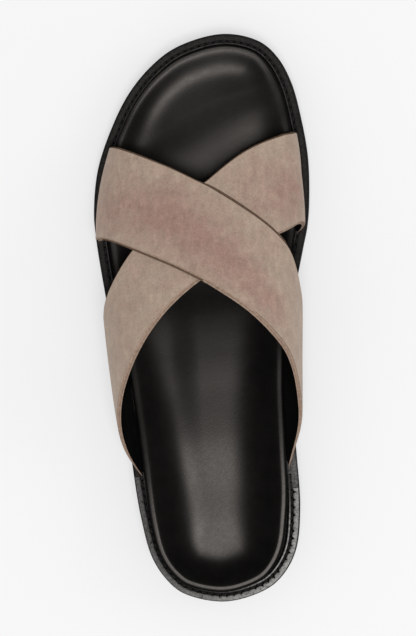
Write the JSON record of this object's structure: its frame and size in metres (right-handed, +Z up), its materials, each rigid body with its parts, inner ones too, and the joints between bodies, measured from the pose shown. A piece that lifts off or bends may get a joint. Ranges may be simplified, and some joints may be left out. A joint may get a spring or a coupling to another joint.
{
  "type": "crossover slide sandal",
  "caption": "Open-toe, open-heel slide sandal with two wide suede straps crossing over the instep, a moulded leather footbed, a welt and a low-heeled rubber sole.",
  "frame": {"origin": "middle of the bounding box at floor level, under the sole", "axes": "+Y from heel to toe, +X towards the big-toe (medial) side, +Z up from the floor"},
  "size_m": [0.1111, 0.287, 0.0868],
  "materials": {
    "strap_suede": "napped suede, matte",
    "footbed_leather": "smooth leather, semi-gloss",
    "welt_leather": "smooth leather, satin",
    "heel_rand": "rough mottled leather board, matte",
    "outsole_rubber": "moulded rubber, matte"
  },
  "bodies": {
    "root": {"upper": "strap_suede", "footbed": "footbed_leather", "welt": "welt_leather", "heel_rand": "heel_rand", "outsole": "outsole_rubber"}
  },
  "joints": []
}
